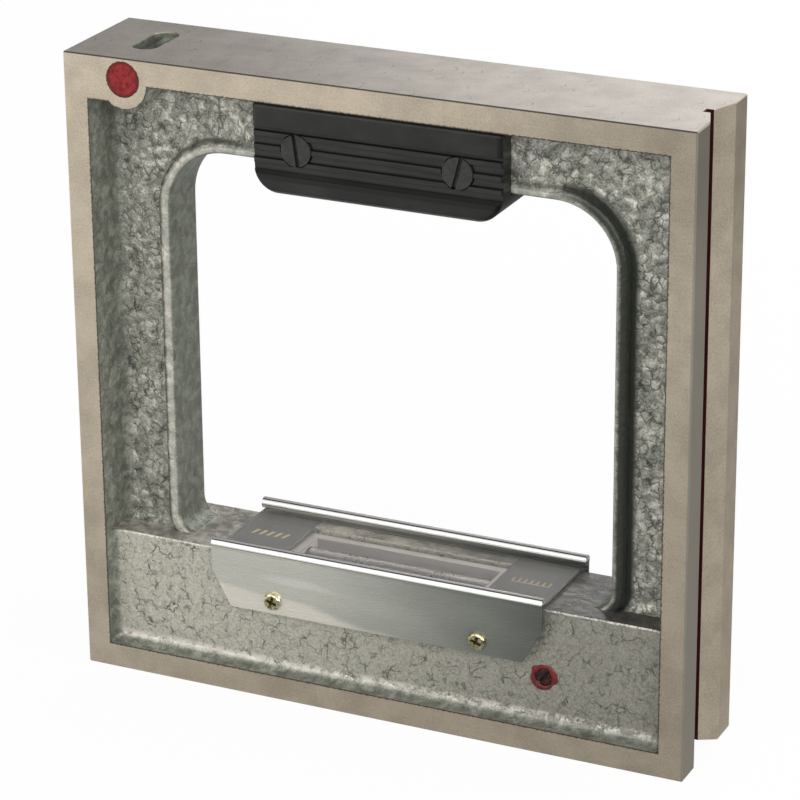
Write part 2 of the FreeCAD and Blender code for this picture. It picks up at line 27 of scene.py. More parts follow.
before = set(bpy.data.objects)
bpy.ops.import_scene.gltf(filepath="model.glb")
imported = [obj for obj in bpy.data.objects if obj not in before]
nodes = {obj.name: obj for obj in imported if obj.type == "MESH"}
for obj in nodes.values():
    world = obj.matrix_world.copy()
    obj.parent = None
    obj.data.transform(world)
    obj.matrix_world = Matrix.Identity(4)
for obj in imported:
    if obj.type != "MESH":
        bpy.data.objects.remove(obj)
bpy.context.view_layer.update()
millimetre = 0.001


class NodeBuilder:
    # Adds nodes to one tree; an input that is given as a socket is linked, any other is set.

    def __init__(self, tree):
        self.tree = tree

    def fill(self, socket, value):
        if isinstance(value, bpy.types.NodeSocket):
            self.tree.links.new(value, socket)
        else:
            socket.default_value = value

    def add(self, kind, inputs=None, **settings):
        made = self.tree.nodes.new(kind)
        for name, value in settings.items():
            setattr(made, name, value)
        for name, value in (inputs or {}).items():
            self.fill(made.inputs[name], value)
        return made

    def maths(self, operation, *values):
        made = self.add("ShaderNodeMath", dict(enumerate(values)), operation=operation)
        return made.outputs[0]

    def vector(self, operation, *values):
        made = self.add("ShaderNodeVectorMath", dict(enumerate(values)), operation=operation)
        return made.outputs["Vector"]

    def length(self, vector):
        made = self.add("ShaderNodeVectorMath", {0: vector}, operation="LENGTH")
        return made.outputs["Value"]

    # 0 below low, 1 above high and a smooth step between; low > high runs the other way
    def step(self, value, low, high):
        low, high, ends = (low, high, (0.0, 1.0)) if low < high else (high, low, (1.0, 0.0))
        made = self.add(
            "ShaderNodeMapRange",
            {"Value": value, "From Min": low, "From Max": high, "To Min": ends[0], "To Max": ends[1]},
            interpolation_type="SMOOTHSTEP")
        return made.outputs["Result"]

    # 1 from low to high, fading over soft on both sides
    def between(self, value, low, high, soft):
        return self.maths(
            "MULTIPLY", self.step(value, low - soft, low + soft), self.step(value, high + soft, high - soft))

    # low where the value is 0 and high where it is 1
    def spread(self, value, low, high):
        made = self.add("ShaderNodeMapRange", {"Value": value, "To Min": low, "To Max": high})
        return made.outputs["Result"]

    def plus(self, *values):
        result = values[0]
        for value in values[1:]:
            result = self.maths("ADD", result, value)
        return result

    def times(self, *values):
        result = values[0]
        for value in values[1:]:
            result = self.maths("MULTIPLY", result, value)
        return result

    def either(self, *values):
        result = values[0]
        for value in values[1:]:
            result = self.maths("MAXIMUM", result, value)
        return result

    def opposite(self, value):
        return self.maths("SUBTRACT", 1.0, value)

    # a where the factor is 0 and b where it is 1, for numbers; mix does it for colours
    def blend(self, factor, a, b):
        return self.add("ShaderNodeMix", {0: factor, 2: a, 3: b}).outputs[0]

    def mix(self, factor, a, b):
        made = self.add("ShaderNodeMix", data_type="RGBA")
        self.fill(made.inputs[0], factor)
        for socket, value in ((made.inputs[6], a), (made.inputs[7], b)):
            self.fill(socket, value if isinstance(value, bpy.types.NodeSocket) else (*value[:3], 1.0))
        return made.outputs[2]

    def scaleColour(self, colour, factor):
        made = self.add("ShaderNodeVectorMath", {0: colour}, operation="SCALE")
        self.fill(made.inputs["Scale"], factor)
        return made.outputs["Vector"]

    def noise(self, vector, scale, detail=2.0, roughness=0.5, distortion=0.0):
        made = self.add("ShaderNodeTexNoise", {
            "Vector": vector, "Scale": scale, "Detail": detail, "Roughness": roughness,
            "Distortion": distortion})
        return made.outputs["Fac"]

    # a vector of noise about zero
    def wander(self, vector, scale, reach):
        made = self.add("ShaderNodeTexNoise", {"Vector": vector, "Scale": scale, "Detail": 1.0})
        centred = self.vector("SUBTRACT", made.outputs["Color"], (0.5, 0.5, 0.5))
        return self.scaleColour(centred, reach)

    def voronoi(self, vector, scale, feature="F1", **inputs):
        return self.add(
            "ShaderNodeTexVoronoi", {"Vector": vector, "Scale": scale, **inputs}, feature=feature)

    def stretched(self, vector, scale):
        return self.vector("MULTIPLY", vector, scale)

    def parts(self, vector):
        made = self.add("ShaderNodeSeparateXYZ", {"Vector": vector})
        return made.outputs[0], made.outputs[1], made.outputs[2]

    # length of the vector with these two components
    def reach(self, a, b):
        return self.length(self.add("ShaderNodeCombineXYZ", {0: a, 1: b}).outputs[0])

    # distance of the point (x, z) from an axis along Y through centre
    def fromAxis(self, x, z, centre):
        return self.reach(self.maths("SUBTRACT", x, centre[0]), self.maths("SUBTRACT", z, centre[1]))

    # the group's outputs, read by name
    def use(self, group, **inputs):
        made = self.add("ShaderNodeGroup", node_tree=group)
        for name, value in inputs.items():
            self.fill(made.inputs[name], value)
        return made.outputs


# An empty node group with its sockets; build fills it and gives back one socket for each output.
def makeGroup(name, inputs, outputs, build):
    group = bpy.data.node_groups.new(name, "ShaderNodeTree")
    for label, (kind, value) in inputs.items():
        socket = group.interface.new_socket(label, in_out="INPUT", socket_type=kind)
        if value is not None:
            socket.default_value = value
    for label in outputs:
        group.interface.new_socket(label, in_out="OUTPUT", socket_type="NodeSocketFloat")
    builder = NodeBuilder(group)
    entry = builder.add("NodeGroupInput")
    results = build(builder, entry.outputs)
    leave = builder.add("NodeGroupOutput")
    for label, socket in results.items():
        group.links.new(socket, leave.inputs[label])
    return group


vectorIn = ("NodeSocketVector", None)


def floatIn(value):
    return ("NodeSocketFloat", value)


paintRelief = {
    "slowScale": 0.22,               # noise that pushes the pattern about, per millimetre
    "quickScale": 0.9,
    "quickReach": 0.35,
    "domeSoftness": 0.6,
    "patchScale": 0.21,              # patches where the creases change their kind
    "fineScale": 1.7,
    "domeHeight": 0.55,
    "foldHeight": 1.0,
    "fineHeight": 0.24,
    "creaseDepth": 0.3,
    "domeShade": 0.08,
    "foldShade": 0.5,
    "fineShade": 0.42,
}


# Hammered paint. The point is pushed about by slow and quick noise, then it reads a Voronoi pattern
# (round domes) and a noise. Height = domes + folds + fine noise - creases, where a crease is a thin
# line on a cell's edge, kept only in patches, or on the middle of the folds in the other patches.
def buildHammered(n, given):
    r = paintRelief
    v = given["Vector"]
    scale = n.maths("DIVIDE", 1.0, given["Size"])
    slow = n.scaleColour(n.wander(v, r["slowScale"], 1.0), given["Warp"])
    quick = n.scaleColour(n.wander(v, r["quickScale"], r["quickReach"]), given["Warp"])
    placed = n.vector("ADD", v, n.vector("ADD", slow, quick))
    fromPoint = n.voronoi(placed, scale, "SMOOTH_F1", Smoothness=r["domeSoftness"]).outputs["Distance"]
    domes = n.step(fromPoint, 0.75, 0.1)
    edge = n.voronoi(placed, scale, "DISTANCE_TO_EDGE").outputs["Distance"]
    folds = n.noise(placed, n.times(scale, 0.9), 2.0, 0.5, 0.35)
    ridge = n.maths("ABSOLUTE", n.maths("SUBTRACT", folds, 0.5))
    patch = n.noise(v, r["patchScale"], 2.0)
    cellLine = n.times(
        n.step(n.maths("DIVIDE", edge, given["Line"]), 1.0, 0.2), n.step(patch, 0.40, 0.64))
    foldLine = n.times(
        n.step(n.maths("DIVIDE", ridge, given["Line"]), 0.35, 0.0), n.step(patch, 0.56, 0.42))
    crease = n.either(cellLine, n.times(foldLine, 0.7))
    fine = n.noise(v, r["fineScale"], 4.0, 0.65)
    height = n.plus(
        n.times(domes, r["domeHeight"]), n.times(folds, r["foldHeight"]), n.times(fine, r["fineHeight"]))
    height = n.maths("SUBTRACT", height, n.times(crease, r["creaseDepth"]))
    shade = n.plus(
        n.times(domes, r["domeShade"]), n.times(folds, r["foldShade"]), n.times(fine, r["fineShade"]))
    return {"Shade": shade, "Crease": crease, "Fine": fine, "Height": height}


# Grain of a ground or drawn face: quick specks, slow mottling and lines along one direction, each a
# noise at its own scale.
def buildGrain(n, given):
    speck = n.noise(given["Vector"], 1.9, 3.0, 0.75)
    mottle = n.noise(given["Vector"], 0.09, 3.0, 0.6)
    lines = n.noise(n.stretched(given["Vector"], given["Stretch"]), 1.0, 3.0, 0.6)
    return {"Speck": speck, "Mottle": mottle, "Lines": lines}


scrapedArc = {
    "ring": (1.40, 1.68, 0.14),      # millimetres from the cell's point: from, to, softness
    "turn": 0.9,
    "pick": (0.35, 0.4),             # cells whose number is under this stay bare
    "faintest": 0.35,
}


# Scraped crescents: in some cells of a Voronoi pattern, a thin arc at a set distance from the
# cell's point, kept on the side that the cell's own number picks.
def buildCrescents(n, given):
    cells = n.add(
        "ShaderNodeTexVoronoi",
        {"Vector": given["Vector"], "Scale": n.maths("DIVIDE", 1.0, given["Spacing"])},
        voronoi_dimensions="2D")
    flat = n.vector("MULTIPLY", given["Vector"], (1.0, 1.0, 0.0))
    x, y = n.parts(n.vector("SUBTRACT", flat, cells.outputs["Position"]))[:2]
    pick, turn, strength = n.parts(cells.outputs["Color"])
    ring = n.between(n.reach(x, y), *scrapedArc["ring"])
    side = n.step(n.maths("SUBTRACT", x, n.times(y, n.spread(turn, -scrapedArc["turn"], scrapedArc["turn"]))), 0.2, 1.2)
    shown = n.step(pick, *scrapedArc["pick"])
    return {"Mark": n.times(ring, side, shown, n.spread(strength, scrapedArc["faintest"], 1.0))}


hammered = makeGroup(
    "hammeredPaint",
    {"Vector": vectorIn, "Size": floatIn(3.0), "Warp": floatIn(3.0), "Line": floatIn(0.1)},
    ("Shade", "Crease", "Fine", "Height"), buildHammered)
grain = makeGroup(
    "groundGrain", {"Vector": vectorIn, "Stretch": ("NodeSocketVector", (0.05, 1.0, 1.0))},
    ("Speck", "Mottle", "Lines"), buildGrain)
crescents = makeGroup(
    "scrapedCrescents", {"Vector": vectorIn, "Spacing": floatIn(9.0)}, ("Mark",), buildCrescents)
print("stage: node groups")


# A new material with a Principled shader whose inputs are given by name.
def makeMaterial(name, fill, **shader):
    material = bpy.data.materials.new(name)
    material.use_nodes = True
    material.node_tree.nodes.clear()
    n = NodeBuilder(material.node_tree)
    place = n.add("ShaderNodeTexCoord").outputs["Object"]
    inputs = {**shader, **fill(n, n.scaleColour(place, 1 / millimetre))}
    surface = n.add("ShaderNodeBsdfPrincipled", inputs)
    n.add("ShaderNodeOutputMaterial", {"Surface": surface.outputs["BSDF"]})
    return material


castIron = {
    "frameHalf": 100.0,
    "frameHigh": 200.0,
    "rimHalf": 92.0,                 # the recesses reach this far to the sides
    "rimLow": 8.0,
    "rimHigh": 192.0,
    "lugCentre": (-80.0, 192.2),
    "lugRadius": 8.0,
    "heelLow": 186.2,
    "heelRight": -84.0,
    "plugCentre": (-80.0, 193.5),
    "plugRadius": 4.95,
    "beamFront": -15.0,              # front face of the lower beam
    "rimLevel": 19.8,                # past this half thickness the face is ground
    "windowHalf": 72.0,
    "windowLow": 45.3,               # also the height of the sill
    "windowHigh": 170.5,
    "windowFoot": 6.0,
    "windowHead": 19.0,
    "grooveRise": 4.15,              # the V's flanks lie below this height
    "reliefHalf": 1.52,
    "reliefStart": 3.30,
    "reliefEnd": 5.6,
    "slotMiddle": -80.0,             # opening over the cross vial, in the top face
    "slotHalf": 5.2,
    "slotHalfDepth": 12.0,
    "slotLow": 186.2,
    "sillHalf": 15.1,
    "rightColumn": (48.0, 66.0),     # the right column's painted shade and highlight come in over these X
    "crestLeft": (0.4, 2.5, 0.4),    # distances from the window's edge: from, to, softness
    "crestRight": (0.1, 1.1, 0.3),
    "valleyLeft": (3.0, 4.4, 0.6),
    "valleyRight": (1.4, 5.4, 0.8),
    "valleyShare": 0.5,              # strength of the painted shade in the left valley
    "frontLand": (-8.5, -10.5),
    "shadeAcross": (25.0, 95.0),
    "shadeUpward": (150.0, 188.0),
    "beamShadeAcross": (-70.0, 80.0),
    "sillShadeAcross": (-40.0, 70.0),
    "boldPaint": {"Size": 2.9, "Warp": 3.6, "Line": 0.085},
    "mildPaint": {"Size": 4.6, "Warp": 4.6, "Line": 0.07},
    "rimPale": (0.66, 0.575, 0.45),
    "rimDark": (0.50, 0.435, 0.335),
    "topPale": (0.66, 0.61, 0.555),
    "topDark": (0.52, 0.475, 0.425),
    "speckDark": (0.33, 0.26, 0.18),
    "speckPale": (0.80, 0.74, 0.62),
    "edgeDark": (0.045, 0.04, 0.035),
    "markDark": (0.19, 0.165, 0.145),
    "topRightShade": 0.78,           # painted shade: the rim is darker at its upper right
    "landShade": (0.35, 0.335, 0.285),     # painted shade on the front land of the right side
    "paintPale": (0.72, 0.695, 0.61),
    # painted highlight on the beam's foot fillet and along the sill's edge
    "paintedHighlight": (0.82, 0.77, 0.70),
    "paintMiddle": (0.35, 0.35, 0.30),
    "paintDark": (0.085, 0.092, 0.075),
    "wallPale": (0.27, 0.285, 0.235),
    "wallDark": (0.15, 0.16, 0.13),
    "beamPale": (0.62, 0.60, 0.51),
    "beamMiddle": (0.44, 0.43, 0.36),
    "beamRightShade": 0.58,               # painted shade: the lower beam is darker at its right end
    "sillPale": (0.57, 0.54, 0.475),
    "sillDark": (0.24, 0.225, 0.20),
    # painted shade: the sill is darker at its right end
    "sillRightShade": 0.25,
    # painted shade in the valley beside the window's bead
    "valleyShadeColour": (0.042, 0.046, 0.036),
    "reliefRed": (0.040, 0.003, 0.004),
    "sealRed": (0.16, 0.010, 0.012),
}


# Signed distance to an upright rectangle with its own corner radius below and above, from the point
# (x, z): the corner's circle outside both straight sides, the nearer side elsewhere.
def fromWindow(n, x, z, v):
    middle = (v["windowLow"] + v["windowHigh"]) / 2
    half = (v["windowHigh"] - v["windowLow"]) / 2
    radius = n.blend(n.step(z, middle - 5, middle + 5), v["windowFoot"], v["windowHead"])
    across = n.plus(n.maths("ABSOLUTE", x), -v["windowHalf"], radius)
    upward = n.plus(n.maths("ABSOLUTE", n.maths("SUBTRACT", z, middle)), -half, radius)
    corner = n.reach(n.maths("MAXIMUM", across, 0.0), n.maths("MAXIMUM", upward, 0.0))
    side = n.maths("MINIMUM", n.maths("MAXIMUM", across, upward), 0.0)
    return n.maths("SUBTRACT", n.plus(corner, side), radius)


# Cast iron: masks by place pick ground metal, bold paint on the web, smoother paint on walls and on
# the lower beam, the sill and the red relief slots.
def fillCastIron(n, p):
    v = castIron
    x, y, z = n.parts(p)
    absX = n.maths("ABSOLUTE", x)
    absY = n.maths("ABSOLUTE", y)
    ragged = n.maths("SUBTRACT", n.noise(p, 0.9, 3.0, 0.7), 0.5)
    beyond = n.either(
        n.plus(absX, -v["rimHalf"]), n.maths("SUBTRACT", v["rimLow"], z), n.plus(z, -v["rimHigh"]),
        n.maths("SUBTRACT", v["lugRadius"], n.fromAxis(x, z, v["lugCentre"])),
        n.maths("MINIMUM", n.plus(z, -v["heelLow"]), n.maths("SUBTRACT", v["heelRight"], x)))
    rim = n.step(n.plus(absY, n.times(ragged, 0.5)), v["rimLevel"] - 0.08, v["rimLevel"] + 0.04)
    outside = n.either(
        n.step(z, v["grooveRise"] + 0.1, v["grooveRise"]),
        n.step(z, v["frameHigh"] - 0.6, v["frameHigh"] - 0.4),
        n.step(absX, v["frameHalf"] - 0.6, v["frameHalf"] - 0.4),
        n.step(x, v["frameHalf"] - v["grooveRise"] - 0.1, v["frameHalf"] - v["grooveRise"]))
    relief = n.times(
        n.step(absY, v["reliefHalf"] + 0.02, v["reliefHalf"]),
        n.either(
            n.between(z, v["reliefStart"], v["reliefEnd"], 0.02),
            n.between(x, v["frameHalf"] - v["reliefEnd"], v["frameHalf"] - v["reliefStart"], 0.02)))
    slot = n.times(
        n.step(z, v["slotLow"] - 0.2, v["slotLow"]),
        n.step(z, v["frameHigh"] - 0.45, v["frameHigh"] - 0.6),
        n.step(n.maths("ABSOLUTE", n.plus(x, -v["slotMiddle"])), v["slotHalf"] + 0.1, v["slotHalf"]),
        n.step(absY, v["slotHalfDepth"] + 0.5, v["slotHalfDepth"]))
    fromOpening = fromWindow(n, x, z, v)
    belowSill = n.step(z, v["windowLow"] + 0.05, v["windowLow"] - 0.1)
    sill = n.times(
        n.between(z, v["windowLow"] - 0.1, v["windowLow"] + 0.1, 0.02),
        n.step(absY, v["sillHalf"] + 0.2, v["sillHalf"]))
    wall = n.times(n.step(fromOpening, 0.9, 0.2), n.opposite(belowSill))
    flank = n.either(
        n.step(absX, v["rimHalf"] - 2.4, v["rimHalf"] - 0.6),
        n.step(z, v["rimHigh"] - 2.4, v["rimHigh"] - 0.6),
        n.step(z, v["rimLow"] + 2.2, v["rimLow"] + 0.6))
    onRight = n.step(x, *v["rightColumn"])
    aboveSill = n.opposite(belowSill)
    # painted highlight along the bead's crest and painted shade in the valley beside it
    crest = n.times(aboveSill, n.blend(
        onRight, n.between(fromOpening, *v["crestLeft"]), n.between(fromOpening, *v["crestRight"])))
    paintedValleyShade = n.times(aboveSill, n.blend(
        onRight, n.times(n.between(fromOpening, *v["valleyLeft"]), v["valleyShare"]),
        n.between(fromOpening, *v["valleyRight"])))

    # ground faces
    ground = n.use(grain, Vector=p, Stretch=(0.05, 1.4, 1.4))
    onTop = n.step(z, v["frameHigh"] - 0.4, v["frameHigh"] - 0.2)
    pale = n.mix(onTop, v["rimPale"], v["topPale"])
    dark = n.mix(onTop, v["rimDark"], v["topDark"])
    cloud = n.plus(
        n.times(ground["Mottle"], 0.5), n.times(ground["Lines"], 0.12), n.times(ground["Speck"], 0.38))
    groundColour = n.mix(n.step(cloud, 0.36, 0.62), dark, pale)
    groundColour = n.mix(n.times(n.step(ground["Speck"], 0.55, 0.72), 0.6), groundColour, v["speckPale"])
    groundColour = n.mix(n.times(n.step(ground["Speck"], 0.45, 0.28), 0.65), groundColour, v["speckDark"])
    marks = n.times(n.use(crescents, Vector=p, Spacing=8.2)["Mark"], onTop)
    groundColour = n.mix(n.times(marks, 0.85), groundColour, v["markDark"])
    # painted shade on the front land of the right side
    landShadeMask = n.times(
        n.step(x, v["frameHalf"] - 0.7, v["frameHalf"] - 0.4), n.step(y, *v["frontLand"]))
    groundColour = n.mix(n.times(landShadeMask, 0.8), groundColour, v["landShade"])
    # painted shade: the ground rim is darker at its upper right
    paintedShadeUpperRight = n.times(
        n.step(x, *v["shadeAcross"]), n.step(z, *v["shadeUpward"]), n.opposite(onTop))
    groundColour = n.mix(paintedShadeUpperRight, groundColour, n.scaleColour(groundColour, v["topRightShade"]))
    brow = n.times(
        n.step(z, v["frameHigh"] - 0.45, v["frameHigh"] - 0.35),
        n.step(absY, v["rimLevel"] - 0.3, v["rimLevel"] - 0.1))
    groundColour = n.mix(n.times(brow, 0.9), groundColour, v["edgeDark"])
    lip = n.times(rim, n.step(n.plus(beyond, n.times(ragged, 1.2)), 0.52, 0.12))
    groundColour = n.mix(n.times(lip, 0.9), groundColour, v["edgeDark"])
    fromPlug = n.plus(n.fromAxis(x, z, v["plugCentre"]), n.times(ragged, 0.9))
    atFront = n.step(y, 0.3 - v["rimLevel"], 0.1 - v["rimLevel"])
    groundColour = n.mix(
        n.times(n.step(fromPlug, v["plugRadius"] + 0.7, v["plugRadius"] + 0.5), atFront),
        groundColour, v["edgeDark"])
    sealed = n.times(n.step(fromPlug, v["plugRadius"] + 0.45, v["plugRadius"] + 0.3), atFront)

    # paint: bold on the web, thin crackle lines on the lower beam, fine grain on walls
    bold = n.use(hammered, Vector=p, **v["boldPaint"])
    mild = n.use(hammered, Vector=p, **v["mildPaint"])
    # the domes are a little paler, a painted highlight, and the creases darker: the paint's own dark lines with painted
    # shade
    webColour = n.mix(n.step(bold["Shade"], 0.33, 0.50), v["paintDark"], v["paintMiddle"])
    webColour = n.mix(n.step(bold["Shade"], 0.48, 0.66), webColour, v["paintPale"])
    webColour = n.mix(n.times(bold["Crease"], 0.78), webColour, v["paintDark"])
    wallColour = n.mix(n.step(bold["Shade"], 0.38, 0.62), v["wallDark"], v["wallPale"])
    wallColour = n.mix(n.times(mild["Crease"], 0.55), wallColour, v["paintDark"])
    flankColour = n.mix(0.3, wallColour, webColour)
    crackle = n.times(mild["Crease"], n.spread(n.noise(p, 0.16, 1.0), 0.35, 1.3))
    beamColour = n.mix(n.step(mild["Fine"], 0.36, 0.64), v["beamMiddle"], v["beamPale"])
    # painted shade: the lower beam darkens toward its right end
    beamColour = n.mix(
        n.step(x, *v["beamShadeAcross"]), beamColour, n.scaleColour(beamColour, v["beamRightShade"]))
    beamColour = n.mix(n.times(bold["Crease"], 0.36), beamColour, v["paintDark"])
    beamColour = n.mix(n.times(crackle, 0.95), beamColour, v["paintDark"])
    # painted highlight along the fillet at the foot of the lower beam
    paintedFilletHighlight = n.times(
        n.between(z, v["rimLow"] + 1.5, v["rimLow"] + 3.6, 0.7), n.step(absX, 91.0, 89.0),
        n.step(n.plus(bold["Shade"], n.times(x, -0.0007)), 0.40, 0.56))
    # painted highlight along the sill's front edge
    paintedSillEdgeHighlight = n.times(
        n.between(z, v["windowLow"] - 0.7, v["windowLow"] - 0.02, 0.12), n.step(bold["Fine"], 0.38, 0.6))
    beamColour = n.mix(n.times(paintedFilletHighlight, 0.8), beamColour, v["paintedHighlight"])
    beamColour = n.mix(n.times(paintedSillEdgeHighlight, 0.75), beamColour, v["paintedHighlight"])
    sillColour = n.mix(
        n.step(n.plus(n.times(bold["Shade"], 0.6), n.times(ground["Mottle"], 0.4)), 0.40, 0.58),
        v["sillDark"], v["sillPale"])
    # painted shade: the sill darkens toward its right end
    sillColour = n.mix(
        n.step(x, *v["sillShadeAcross"]), sillColour, n.scaleColour(sillColour, v["sillRightShade"]))
    sillColour = n.mix(n.times(bold["Crease"], 0.3), sillColour, v["paintDark"])
    paint = n.mix(belowSill, webColour, beamColour)
    paint = n.mix(n.times(crest, 0.7), paint, n.mix(0.5, webColour, v["paintPale"]))
    paint = n.mix(paintedValleyShade, paint, v["valleyShadeColour"])
    paint = n.mix(n.either(wall, slot), paint, wallColour)
    paint = n.mix(flank, paint, flankColour)
    paint = n.mix(sill, paint, sillColour)

    colour = n.mix(n.either(rim, outside), paint, groundColour)
    colour = n.mix(slot, colour, wallColour)
    colour = n.mix(sealed, colour, v["sealRed"])
    colour = n.mix(relief, colour, v["reliefRed"])
    bare = n.times(n.either(rim, outside), n.opposite(n.either(relief, slot, sealed)))

    height = n.blend(n.either(belowSill, sill), bold["Height"], n.plus(
        n.times(mild["Height"], 0.4), n.times(bold["Height"], 0.10)))
    height = n.blend(n.either(wall, flank, slot), height, n.times(bold["Height"], 0.22))
    height = n.blend(n.either(crest, paintedValleyShade), height, n.times(bold["Height"], 0.3))
    paintBump = n.add("ShaderNodeBump", {
        "Height": n.times(height, n.opposite(bare)), "Distance": 0.0006, "Strength": 0.85})
    scored = n.maths("SUBTRACT", n.plus(ground["Speck"], n.times(ground["Lines"], 0.4)), n.times(marks, 1.5))
    groundBump = n.add("ShaderNodeBump", {
        "Height": n.times(scored, bare), "Distance": 0.00003, "Strength": 0.7,
        "Normal": paintBump.outputs["Normal"]})
    return {
        "Base Color": colour,
        "Metallic": n.plus(n.times(bare, 0.45), n.times(n.opposite(relief), 0.4)),
        "Roughness": n.blend(
            bare, n.spread(bold["Fine"], 0.30, 0.46), n.spread(ground["Speck"], 0.40, 0.56)),
        "Normal": groundBump.outputs["Normal"],
    }


grip = {
    "black": (0.0065, 0.0075, 0.0058),
    "worn": (0.016, 0.017, 0.0138),
    # painted shade along the rib edges and on the step under them
    "line": (0.0015, 0.0015, 0.0015),
    # painted highlight over the ribbed band
    "crest": (0.023, 0.023, 0.020),
    "stepLow": 167.4,                # painted shade on the step under the ribs
    "stepHigh": 169.4,
    "foot": 163.2,                   # lower edge of the grip
    # painted reflection along the lower edge
    "edge": (0.11, 0.12, 0.105),
    "ribLevel": 177.0,               # height of the middle rib
    "ribPitch": 4.1,
    "ribHalf": 0.95,
    "ribReach": 6.4,                 # the ribs lie within this distance of the middle one
    "cloud": 0.10,                   # size of the worn patches, per millimetre
    "roughLow": 0.26,
    "roughHigh": 0.46,
}


# Black moulding: a little paler where it is handled, with fine orange peel and draw lines, a painted highlight
# over the ribs, painted shade along each edge of a rib and on the step, a painted reflection at the lower edge
def fillGrip(n, p):
    z = n.parts(p)[2]
    cloud = n.noise(p, grip["cloud"], 4.0, 0.6)
    peel = n.noise(p, 2.2, 3.0, 0.5)
    scratch = n.noise(n.stretched(p, (0.06, 1.6, 1.6)), 1.0, 3.0, 0.6)
    fromMiddle = n.plus(z, -grip["ribLevel"])
    raised = n.plus(fromMiddle, 10 * grip["ribPitch"])
    fromRib = n.maths("ABSOLUTE", n.maths("PINGPONG", raised, grip["ribPitch"] / 2))
    ribs = n.step(n.maths("ABSOLUTE", fromMiddle), grip["ribReach"] + 0.1, grip["ribReach"] - 0.1)
    # painted shade: a dark line along each edge of a rib and over the step under the ribs
    line = n.times(ribs, n.between(fromRib, grip["ribHalf"] - 0.3, grip["ribHalf"] + 0.25, 0.12))
    line = n.either(line, n.between(z, grip["stepLow"], grip["stepHigh"], 0.3))
    colour = n.mix(n.step(cloud, 0.35, 0.75), grip["black"], grip["worn"])
    # painted highlight in streaks over the ribbed band
    colour = n.mix(n.times(ribs, n.step(scratch, 0.35, 0.6), 0.7), colour, grip["crest"])
    # painted reflection along the lower edge
    colour = n.mix(n.times(n.step(z, grip["foot"] + 1.3, grip["foot"] + 0.3), 0.8), colour, grip["edge"])
    bump = n.add("ShaderNodeBump", {
        "Height": n.plus(peel, n.times(scratch, 0.8)), "Distance": 0.00003, "Strength": 0.6})
    return {
        "Base Color": n.mix(n.times(line, 0.9), colour, grip["line"]),
        "Roughness": n.spread(
            n.plus(n.times(cloud, 0.5), n.times(scratch, 0.5)), grip["roughLow"], grip["roughHigh"]),
        "Normal": bump.outputs["Normal"],
    }


# Drawn, turned or brushed metal: fine lines along one direction and slow clouds
def brushedFill(dark, pale, stretch, roughLow, roughHigh, metallic):
    def fill(n, p):
        g = n.use(grain, Vector=p, Stretch=stretch)
        share = n.plus(n.times(g["Lines"], 0.6), n.times(g["Mottle"], 0.4))
        bump = n.add("ShaderNodeBump", {"Height": g["Lines"], "Distance": 0.00002, "Strength": 0.5})
        return {
            "Base Color": n.mix(n.step(share, 0.3, 0.7), dark, pale),
            "Roughness": n.spread(g["Lines"], roughLow, roughHigh),
            "Metallic": metallic,
            "Normal": bump.outputs["Normal"],
        }
    return fill


# Plain dull finish: a cloudy colour with fine unevenness
def dullFill(dark, pale, scale, roughLow, roughHigh, depth):
    def fill(n, p):
        fine = n.noise(p, scale * 6, 3.0, 0.6)
        bump = n.add("ShaderNodeBump", {"Height": fine, "Distance": depth, "Strength": 0.6})
        return {
            "Base Color": n.mix(n.step(n.noise(p, scale, 4.0, 0.6), 0.3, 0.7), dark, pale),
            "Roughness": n.spread(fine, roughLow, roughHigh),
            "Normal": bump.outputs["Normal"],
        }
    return fill


lacquer = {
    "dark": (0.10, 0.006, 0.008),
    "pale": (0.30, 0.018, 0.020),
    "edge": (0.05, 0.005, 0.005),
    "edgeWidth": 0.9,
    "cloud": 0.55,                   # size of the mottling, per millimetre
    "specular": 0.25,
}


# Sealing lacquer: a mottled red, darker round the edge of the plug
def fillSeal(n, p):
    x, y, z = n.parts(p)
    radius = castIron["plugRadius"]
    cloud = n.noise(p, lacquer["cloud"], 4.0, 0.65)
    fromMiddle = n.plus(n.fromAxis(x, z, castIron["plugCentre"]), n.times(cloud, 1.2))
    edge = n.step(fromMiddle, radius, radius + lacquer["edgeWidth"])
    colour = n.mix(n.step(cloud, 0.32, 0.66), lacquer["dark"], lacquer["pale"])
    bump = n.add("ShaderNodeBump", {
        "Height": n.noise(p, 0.9, 3.0, 0.6), "Distance": 0.0002, "Strength": 0.6})
    return {
        "Base Color": n.mix(n.times(edge, 0.8), colour, lacquer["edge"]),
        "Roughness": n.spread(cloud, 0.30, 0.50),
        "Normal": bump.outputs["Normal"],
    }


sealedScrew = {
    "steel": (0.028, 0.024, 0.022),
    "red": (0.085, 0.006, 0.006),
    "cloud": 0.9,
}


# Blackened screw with red lacquer left in patches
def fillSealedScrew(n, p):
    cloud = n.noise(p, sealedScrew["cloud"], 4.0, 0.65)
    bump = n.add("ShaderNodeBump", {"Height": cloud, "Distance": 0.0001, "Strength": 0.6})
    return {
        "Base Color": n.mix(n.step(cloud, 0.50, 0.60), sealedScrew["steel"], sealedScrew["red"]),
        "Roughness": n.spread(cloud, 0.30, 0.55),
        "Metallic": n.times(n.step(cloud, 0.60, 0.50), 0.6),
        "Normal": bump.outputs["Normal"],
    }


# middle and size of a node's box
def boxOf(name):
    low, high = (np.array(corner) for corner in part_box(name))
    return (low + high) / 2, high - low


panScrew = {
    "pale": (0.96, 0.90, 0.64),
    "dark": (0.48, 0.43, 0.23),
    # painted shade inside the cross recess
    "recess": (0.09, 0.08, 0.035),
    "recessReach": 1.95,             # millimetres from the screw's axis
    "faceDepth": 0.32,               # deeper than this under the crown is recess
}


